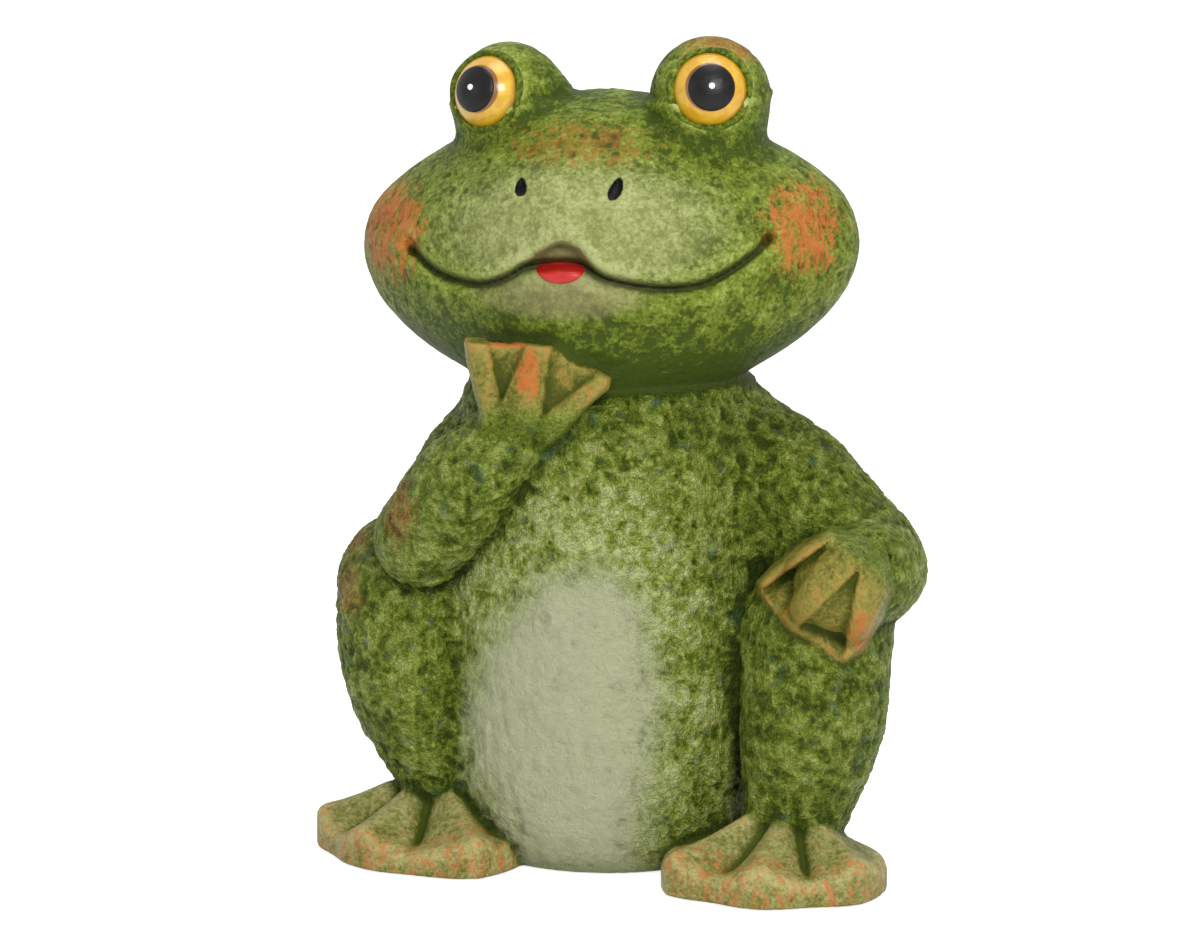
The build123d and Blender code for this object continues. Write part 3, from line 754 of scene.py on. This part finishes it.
class Painter:
    """Short names for the nodes that a paint is built of. Patterns are sized in millimetres."""

    def __init__(self, name):
        self.material = bpy.data.materials.new(name)
        self.material.use_nodes = True
        self.tree = self.material.node_tree
        self.tree.nodes.clear()
        self.place = add_node(self.tree, "ShaderNodeTexCoord").outputs["Object"]

    def share(self, name):
        return add_node(self.tree, "ShaderNodeAttribute", {"attribute_name": name}).outputs["Fac"]

    def math(self, kind, a, b=0.0, c=0.0):
        node = add_node(self.tree, "ShaderNodeMath", {"operation": kind}, i0=a, i1=b, i2=c)
        return node.outputs[0]

    def times(self, a, b):
        return self.math("MULTIPLY", a, b)

    def most(self, a, b):
        return self.math("MAXIMUM", a, b)

    def less(self, a, b=0.5):
        return self.math("SUBTRACT", a, b)

    def plus(self, value, weight, to):
        return self.math("MULTIPLY_ADD", value, weight, to)

    def ramp(self, value, low, high, to_low=0.0, to_high=1.0):
        return add_node(self.tree, "ShaderNodeMapRange", {"interpolation_type": "SMOOTHSTEP"},
                        Value=value, From_Min=low, From_Max=high, To_Min=to_low,
                        To_Max=to_high).outputs[0]

    def grain(self, size, detail=4.0, roughness=0.6, stretch=1.0, distortion=0.0, offset=(0, 0, 0)):
        place = add_node(self.tree, "ShaderNodeMapping", None, Vector=self.place, Location=offset,
                         Scale=(1, 1, stretch)).outputs[0]
        return add_node(self.tree, "ShaderNodeTexNoise", None, Vector=place, Scale=1000.0 / size,
                        Detail=detail, Roughness=roughness, Distortion=distortion).outputs["Fac"]

    def mix(self, share, a, b):
        """From a to b, each a hex code or a node's output."""
        a, b = (colour(value) if isinstance(value, str) else value for value in (a, b))
        node = add_node(self.tree, "ShaderNodeMix", {"data_type": "RGBA"}, i0=share, i6=a, i7=b)
        return node.outputs[2]

    def finish(self, base, roughness, height=None, depth=0.0, coat=0.0, coat_roughness=0.3,
               gloss=0.5):
        normal = {}
        if height is not None:
            bump = add_node(self.tree, "ShaderNodeBump", None, Strength=1.0, Distance=depth,
                            Height=height)
            normal = {"Normal": bump.outputs[0]}
        shader = add_node(self.tree, "ShaderNodeBsdfPrincipled", None, Base_Color=base,
                          Roughness=roughness, Coat_Weight=coat, Coat_Roughness=coat_roughness,
                          IOR=1.45, Specular_IOR_Level=gloss, **normal)
        add_node(self.tree, "ShaderNodeOutputMaterial", None, Surface=shader.outputs[0])
        return self.material


def painted_clay():
    """Matt hand-painted terracotta: a light green coat, a dark green wash left in the pits, pale
    belly and muzzle, orange dry-brushed on the high spots, and a thin satin varnish. Painted shade
    darkens the wide creases, the jaw, the eye mounds and the hollow under the lip's bow, and the
    chest round the belly is paler, partly paint and partly painted light."""
    p = Painter("hand_painted_terracotta")
    near, wide, halo_and_chest_light = p.share("open_near"), p.share("open_wide"), p.share("halo_and_chest_light")
    head, limb, belly = p.share("head_share"), p.share("limb_share"), p.share("belly")
    fine = p.grain(1.5, 5.0, 0.70, distortion=0.3)
    dabs = p.grain(3.4, 2.0, 0.55, distortion=1.0, offset=(4, 4, 9))
    coils = p.math("ABSOLUTE", p.less(p.grain(3.6, 2.0, 0.5, distortion=1.6)))
    coils_up = p.ramp(coils, 0.0, 0.10, 1.0, 0.0)
    flecks = p.grain(2.6, 4.0, 0.7, distortion=0.8, offset=(3, 1, 2))
    clouds = p.grain(24.0, 3.0, 0.55, offset=(7, 2, 5))
    strokes = p.grain(2.6, 5.0, 0.75, stretch=0.30, distortion=0.8, offset=(5, 5, 1))
    hatch = p.grain(2.4, 3.0, 0.6, stretch=0.16, distortion=0.3, offset=(2, 8, 3))
    body = p.less(1.0, p.most(p.most(head, limb), belly))
    rough_coat = p.less(1.0, p.most(limb, belly))

    # how much of the light coat shows: more on what stands up and less in the pits; the wide
    # creases are also painted darker as painted shade, and the broad rounded parts lighter as
    # painted light
    light = p.plus(p.share("relief"), 0.38, 0.41)
    for part, weight in (
            (near, 0.45), (wide, 0.60), (p.less(fine), 2.0), (p.less(flecks), 1.0),
            (p.times(p.less(dabs), rough_coat), 0.85), (p.times(p.less(coils_up, 0.35), body), 0.22),
            (p.less(clouds), 0.3)):
        light = p.plus(part, weight, light)
    # the limbs are darker and more even than the chest; the chest round the belly is lighter,
    # partly paler paint and partly painted light where the head shades it; the jaw is darkest,
    # as painted shade under the head, and the eye mounds are painted a little darker as shade
    contrast = p.plus(belly, -0.46, p.plus(p.most(halo_and_chest_light, p.most(head, limb)), 0.26, 0.68))
    light = p.plus(p.less(light, 0.45), contrast, 0.47)
    for part, weight in ((halo_and_chest_light, 0.56), (head, -0.09), (p.share("jaw_and_mound_shade"), -0.74)):
        light = p.plus(part, weight, light)
    out = p.mix(p.ramp(light, 0.0, 0.50), "#384800", "#68791a")
    out = p.mix(p.ramp(light, 0.40, 0.95), out, "#96a349")
    out = p.mix(p.ramp(light, 0.90, 1.40), out, "#bac47f")
    blue_spots = p.times(p.ramp(p.grain(6.5, 2.0, 0.5, offset=(1, 9, 4)), 0.60, 0.70), body)
    out = p.mix(p.times(blue_spots, 0.40), out, "#4f6c5c")

    # the pale belly and the muzzle, rubbed over with a nearly dry brush
    worn = p.times(p.less(flecks), 0.9)
    pale = p.ramp(p.plus(worn, 1.10, belly), 0.04, 0.90)
    out = p.mix(pale, out, p.mix(p.ramp(light, 0.10, 0.95), "#868963", "#b2b691"))
    out = p.mix(p.times(p.ramp(p.plus(worn, 1.2, p.share("base")), 0.2, 1.2), 0.55), out, "#6f7048")
    muzzle = p.times(p.ramp(p.plus(worn, 1.0, p.share("muzzle")), 0.10, 1.0), 0.80)
    out = p.mix(muzzle, out, p.mix(p.ramp(light, 0.0, 0.9), "#8c9252", "#b4ba80"))
    chin = p.times(p.ramp(p.plus(worn, 1.0, p.share("chin")), 0.2, 0.9), 0.5)
    out = p.mix(chin, out, "#938b62")
    # painted shade: the hollow under the upper lip's bow in a shaded brown
    out = p.mix(p.times(p.share("bow"), 0.75), out, "#6f6242")

    # the olive skin of the hands and the paler skin of the feet
    thick = p.ramp(light, 0.0, 1.05)
    skin = p.mix(p.share("foot"), p.mix(thick, "#4a4f09", "#968a3f"),
                 p.mix(thick, "#5c6317", "#b3ad72"))
    out = p.mix(p.times(p.ramp(limb, 0.2, 0.9), 0.92), out, skin)

    def dragged(out, name, pattern, bite, most, code):
        """Paint that only catches where the pattern stands high, thinning out to the edge."""
        area = p.share(name)
        caught = p.ramp(p.plus(p.less(pattern), bite, area), 0.45, 1.25)
        return p.mix(p.times(p.times(caught, p.ramp(area, 0.0, 0.3)), most), out, code)

    # orange, dragged on in short strokes, and rubbed over the ridges of the hands and feet
    out = dragged(out, "blush", strokes, 4.2, 0.74, "#cf6a34")
    out = dragged(out, "brow", hatch, 4.4, 0.42, "#a86626")
    out = dragged(out, "elbow", strokes, 3.6, 0.60, "#a8602c")
    out = dragged(out, "knee", strokes, 3.0, 0.55, "#a86a38")
    out = dragged(out, "mound", strokes, 3.0, 0.60, "#b5672c")
    rubbed = p.times(p.ramp(p.plus(p.less(strokes), 3.2, near), 0.15, 0.75), p.ramp(limb, 0.3, 0.9))
    out = p.mix(p.times(rubbed, 0.34), out, "#bf6f34")
    out = dragged(out, "toes", strokes, 3.6, 0.80, "#c96c38")
    out = dragged(out, "fingers", strokes, 3.2, 0.85, "#c8682c")

    # painted shade in the wide creases, a darker band beside the smile, black paint in the smile
    # and the nostrils, and bare terracotta inside
    mouth = p.share("mouth_gap")
    out = p.mix(p.times(p.ramp(wide, -0.16, -0.66), 0.68), out, "#2c3a00")
    out = p.mix(p.times(p.ramp(mouth, 2.6, 0.2), 0.40), out, "#4a5024")
    out = p.mix(p.ramp(mouth, 0.30, -0.25), out, "#1a200a")
    hole = p.ramp(p.plus(p.less(fine), 0.25, p.share("nostril")), 1.10, 0.98)
    out = p.mix(hole, out, "#0c0a09")
    out = p.mix(p.share("inside"), out, "#a2593a")

    # fine dabs in relief, calmer on the head, the hands and the feet
    height = p.plus(flecks, 0.9, p.plus(p.times(coils_up, body), 0.8, fine))
    height = p.times(height, p.plus(head, -0.45, p.plus(limb, -0.6, 1.0)))
    rough = p.plus(hole, -0.25, p.ramp(light, 0.0, 1.2, 0.60, 0.44))
    return p.finish(out, rough, height, 0.0012, gloss=0.25)


def gloss_paint(name, tones, patch_size, patch_top, grit, depth, roughness, **finish):
    """Gloss paint in two near tones, laid on with a brush that leaves it a little uneven."""
    p = Painter(name)
    patches = p.ramp(p.grain(patch_size), 0.4, patch_top)
    return p.finish(p.mix(patches, *tones), roughness, p.grain(grit), depth, **finish)


def amber_glaze(name, centre, gaze):
    """Amber paint under a clear glaze: yellow in the middle of the ring, browner at its edges."""
    p = Painter(name)
    middle = tuple(to_frame(centre + gaze * 22))
    away = add_node(p.tree, "ShaderNodeVectorMath", {"operation": "DISTANCE"}, i0=p.place, i1=middle)
    ring = p.times(away.outputs["Value"], 1000.0)
    brush = p.grain(5.0, 3.0, 0.6, distortion=0.6)
    base = p.mix(p.ramp(brush, 0.35, 0.65), "#cf9a12", "#dcae24")
    base = p.mix(p.times(p.ramp(p.plus(p.less(brush), 3.0, ring), 12.4, 15.0), 0.8), base, "#8a560a")
    base = p.mix(p.ramp(ring, 9.1, 8.5), base, "#7a4a0c")
    return p.finish(base, 0.32, brush, 0.0003, coat=0.5, coat_roughness=0.12)


# Clay pieces: the one surface is parted along the seams where the potter luted the forms together.
clay_paint = painted_clay()
slots = {name: "green_painted_clay" for name in form_names}
for name in ("left_hand", "right_hand", "left_foot", "right_foot"):
    slots[name] = "brushed_painted_clay"


def make_piece(name, points, faces, material):
    """A smooth mesh object from millimetres and rows of four corners, with its origin at the
    frame's origin. A corner that repeats the one before it is left out, which closes a pole."""
    used, faces = np.unique(faces, return_inverse=True)
    faces = faces.reshape(-1, 4)
    kept = faces != np.roll(faces, 1, axis=1)
    counts = kept.sum(1)
    mesh = bpy.data.meshes.new(name)
    mesh.vertices.add(len(used))
    mesh.vertices.foreach_set("co", to_frame(points[used]).astype(np.float32).ravel())
    mesh.loops.add(int(counts.sum()))
    mesh.loops.foreach_set("vertex_index", faces[kept].astype(np.int32))
    mesh.polygons.add(len(faces))
    mesh.polygons.foreach_set("loop_start", (np.cumsum(counts) - counts).astype(np.int32))
    mesh.polygons.foreach_set("loop_total", counts.astype(np.int32))
    mesh.polygons.foreach_set("use_smooth", np.full(len(faces), True))
    mesh.update(calc_edges=True)
    mesh.materials.append(material)
    piece = bpy.data.objects.new(name, mesh)
    bpy.context.scene.collection.objects.link(piece)
    return piece, used


def lay_paint(piece, shares):
    """Keep the layout's shares on the piece's vertices."""
    for key, values in shares.items():
        layer = piece.data.attributes.new(key, "FLOAT", "POINT")
        every = np.broadcast_to(values, len(piece.data.vertices))
        layer.data.foreach_set("value", every.astype(np.float32))


for index, name in enumerate(form_names[1:], 1):
    faces = np.concatenate([quads[ends[:, 0] == index], quads[ends[:, 1] == index][:, ::-1]])
    piece, used = make_piece("clay_" + name, points, faces, clay_paint)
    lay_paint(piece, {key: values[used] for key, values in paint.items()})
    piece.data.normals_split_custom_set_from_vertices(normals[used].astype(np.float32))
    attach(piece, "root")
    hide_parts("torso" if name.startswith("torso") else name)

# Eyes: a rolled lid of clay round each seat, a glossy amber ball in it, and a thick black pupil
# with a white dab, both painted on the ball.
lid_radius, lid_forward, lid_thick = 13.9, 14.9, 1.35
ball_half_angle, ball_wall = math.radians(100), 6.0
pupil_half_angle, pupil_lift, pupil_thick = math.radians(35.5), 0.45, 0.9
dab_half_angle, dab_lift, dab_thick = math.radians(4.4), 0.75, 0.6
pupil_paint = gloss_paint("black_gloss_paint", ("#060505", "#0f0e0d"), 3.0, 0.7, 1.5, 0.00012, 0.34,
                          gloss=0.3)
dab_paint = Painter("white_dab_paint").finish(colour("#eeeeea"), 0.4)


def round_turns(count):
    """That many even turns round a full circle."""
    return np.linspace(0, 2 * math.pi, count, endpoint=False)


def sides_of(axis):
    """Two directions that are square to an axis and to each other."""
    side = np.cross(axis, (0, 0, 1))
    side /= np.linalg.norm(side)
    return side, np.cross(axis, side)


def grid_faces(rows, around, closed=False):
    """Quads between the rows of points that run round a form; closed joins the last row to the
    first."""
    i, j = np.meshgrid(np.arange(rows if closed else rows - 1), np.arange(around), indexing="ij")
    m, n = (i + 1) % rows, (j + 1) % around
    corners = [i * around + j, m * around + j, m * around + n, i * around + n]
    return np.stack(corners, -1).reshape(-1, 4)


def cap_surface(centre, axis, radius, half_angle, thickness, rings=40, around=96):
    """Part of a ball: a closed shell over the cone of that half angle about the axis, from the
    radius less the thickness to the radius, with a rounded rim."""
    axis = axis / np.linalg.norm(axis)
    side, other = sides_of(axis)
    tilt = np.linspace(0, half_angle, rings)
    fade = np.clip((half_angle - tilt) / (half_angle * 0.12), 0, 1)
    outer = radius - thickness + thickness * np.sqrt(np.clip(1 - (1 - fade) ** 2, 0, 1))
    inner = np.full(rings, radius - thickness)
    tilt, lift = np.r_[tilt, tilt[::-1]][1:-1], np.r_[outer, inner][1:-1]
    t, a = (v[..., None] for v in np.meshgrid(tilt, round_turns(around), indexing="ij"))
    ring = np.cos(t) * axis + np.sin(t) * (np.cos(a) * side + np.sin(a) * other)
    ring = ring * lift[:, None, None]
    poles = [axis * radius, axis * (radius - thickness)]
    rows, j = len(tilt), np.arange(around)
    k, last = (j + 1) % around, (rows - 1) * around
    first_fan = np.stack([np.full(around, rows * around), j, k, k], 1)
    last_fan = np.stack([np.full(around, rows * around + 1), last + k, last + j, last + j], 1)
    return (np.vstack([ring.reshape(-1, 3), poles]) + centre,
            np.vstack([grid_faces(rows, around), first_fan, last_fan]))


def lid_surface(centre, gaze):
    """A roll of clay round the eye, a little thicker in some places than in others."""
    side, other = sides_of(gaze)
    a, b = np.meshgrid(round_turns(160), round_turns(24), indexing="ij")
    thick = lid_thick + 0.22 * np.sin(3 * a + 1) + 0.12 * np.sin(7 * a)
    out_way = np.cos(a)[..., None] * side - np.sin(a)[..., None] * other
    rim = centre + out_way * (lid_radius + thick * np.cos(b))[..., None] \
        + gaze * (lid_forward + thick * np.sin(b))[..., None]
    return rim.reshape(-1, 3), grid_faces(160, 24, closed=True)[:, ::-1]


for name, (centre, gaze) in eye_places.items():
    ball_centre = centre + gaze * ball_forward
    look = gaze + (0.05 * right - 0.02 * upward if name == "left" else -0.10 * right)
    ball = cap_surface(ball_centre, gaze, ball_radius, ball_half_angle, ball_wall)
    black = cap_surface(ball_centre, look, ball_radius + pupil_lift, pupil_half_angle, pupil_thick)
    white = cap_surface(ball_centre, look + 0.02 * upward, ball_radius + dab_lift, dab_half_angle,
                        dab_thick, 10, 32)
    amber_paint = amber_glaze(name + "_amber_glaze", centre, gaze)
    for kind, surface, material, node, slot in (
            ("_lid_rim", lid_surface(centre, gaze), clay_paint, "_eye_mound", "green_painted_clay"),
            ("_eyeball_glaze", ball, amber_paint, "_eyeball", "amber_glaze"),
            ("_pupil_paint", black, pupil_paint, "_pupil", "black_glaze"),
            ("_highlight_dab", white, dab_paint, "_pupil", None)):
        piece, _ = make_piece(name + kind, *surface, material)
        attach(piece, "root")
        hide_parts(name + node)
        if material == clay_paint:
            lay_paint(piece, dict.fromkeys(paint, 0.0) | {
                "head_share": 1.0, "mouth_gap": no_mark, "nostril": no_mark, "open_near": -0.2})

# Tongue: a little red half-round of clay that lies on the lower lip, under the bow of the upper
# one.
tongue_middle, tongue_half_width, tongue_rise, tongue_fall = (-17.4, 209.0), 8.9, 2.0, 5.9
tongue_thick, tongue_sunk = 1.7, 1.2
red_paint = gloss_paint("red_satin_paint", ("#b01410", "#c21f18"), 4.0, 0.65, 1.2, 0.0002, 0.42,
                        coat=0.2)


def along_sight(across, up):
    """The first point of the clay on the line of sight through each place on the sheet."""
    aim = (across.reshape(-1, 1) - eye_across) * right + (up.reshape(-1, 1) - eye_up) * upward \
        - eye_distance * toward
    reach = np.full(len(aim), (eye_distance - 110) / eye_distance)
    for _ in range(200):
        value = sample(blended, eye_place + aim * reach[:, None])
        reach = reach + np.clip(value, 0, 2) * 0.8 / eye_distance * (value > 0.02)
    return eye_place + aim * reach[:, None]


rows, columns = 26, 64
s, a = np.meshgrid(np.linspace(0, 1, rows), round_turns(columns), indexing="ij")
half_high = np.where(np.sin(a) > 0, tongue_rise, tongue_fall)
ground = along_sight(tongue_middle[0] + tongue_half_width * s * np.cos(a),
                     tongue_middle[1] + half_high * s * np.sin(a))
crown = 0.2 + tongue_thick * np.sqrt(np.clip(1 - s ** 2, 0, 1))
vertices = np.vstack([ground + toward * crown.reshape(-1, 1), ground - toward * tongue_sunk])
half = rows * columns
top = grid_faces(rows, columns)
side = np.arange(half - columns, half)
following = np.roll(side, -1)
rim = np.stack([side, half + side, half + following, following], 1)
faces = np.vstack([top, top[:, ::-1] + half, rim])
for first in (0, half):
    faces[(faces >= first) & (faces < first + columns)] = first
tongue, _ = make_piece("tongue_clay", vertices, faces, red_paint)
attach(tongue, "root")
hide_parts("tongue")

# Stage: a white sweep, soft lights and the camera.
image_width, film_width, sheet_scale = 1181, 36.0, 2.738
white_light = (1, 1, 1, 1)


def background_seen(tree):
    """1 on the rays that show the background: camera, glossy and transmission rays."""
    path = add_node(tree, "ShaderNodeLightPath")
    seen = path.outputs["Is Camera Ray"]
    for ray in ("Is Glossy Ray", "Is Transmission Ray"):
        most = add_node(tree, "ShaderNodeMath", {"operation": "MAXIMUM"}, i0=seen, i1=path.outputs[ray])
        seen = most.outputs[0]
    return seen


floor_paint = Painter("white_paper")
tree = floor_paint.tree
paper = add_node(tree, "ShaderNodeBsdfDiffuse", None, Color=(0.9, 0.9, 0.9, 1))
glow = add_node(tree, "ShaderNodeEmission", None, Color=white_light,
                Strength=floor_paint.times(background_seen(tree), 0.80))
lit = add_node(tree, "ShaderNodeAddShader", None, i0=paper.outputs[0], i1=glow.outputs[0])
add_node(tree, "ShaderNodeOutputMaterial", None, Surface=lit.outputs[0])
bpy.ops.mesh.primitive_plane_add(size=12, location=(0, 0, -0.0005))
floor = bpy.context.object
floor.name = "floor"
floor.data.materials.append(floor_paint.material)

world = bpy.data.worlds.new("studio")
bpy.context.scene.world = world
world.use_nodes = True
tree = world.node_tree
tree.nodes.clear()
sky = add_node(tree, "ShaderNodeBackground", None, Color=white_light, Strength=0.34)
white = add_node(tree, "ShaderNodeBackground", None, Color=white_light, Strength=1.0)
both = add_node(tree, "ShaderNodeMixShader", None, i0=background_seen(tree), i1=sky.outputs[0],
                i2=white.outputs[0])
add_node(tree, "ShaderNodeOutputWorld", None, Surface=both.outputs[0])


def soft_light(name, place, size, power, aim=(0, 0, 0.14)):
    """A square soft box turned towards the figure."""
    data = bpy.data.lights.new(name, "AREA")
    data.shape = "SQUARE"
    data.size = size
    data.energy = power
    lamp = bpy.data.objects.new(name, data)
    lamp.location = place
    lamp.rotation_mode = "QUATERNION"
    lamp.rotation_quaternion = (Vector(aim) - Vector(place)).to_track_quat("-Z", "Y")
    bpy.context.scene.collection.objects.link(lamp)


soft_light("key_box", (0.70, -1.55, 1.20), 0.7, 28.0)
soft_light("fill_box", (-1.4, -1.0, 0.7), 0.9, 3.0)
soft_light("top_box", (0.1, 0.1, 1.6), 0.9, 9.0)

camera_data = bpy.data.cameras.new("camera")
camera_data.sensor_width = film_width
camera_data.lens = film_width * sheet_scale * eye_distance / image_width
camera_data.clip_start, camera_data.clip_end = 0.1, 30
camera = bpy.data.objects.new("camera", camera_data)
turn = Matrix((tuple(right), tuple(upward), tuple(toward))).transposed()
camera.matrix_world = Matrix.Translation(Vector(to_frame(eye_place))) @ turn.to_4x4()
bpy.context.scene.collection.objects.link(camera)
bpy.context.scene.camera = camera
bpy.context.scene.view_settings.view_transform = "Standard"
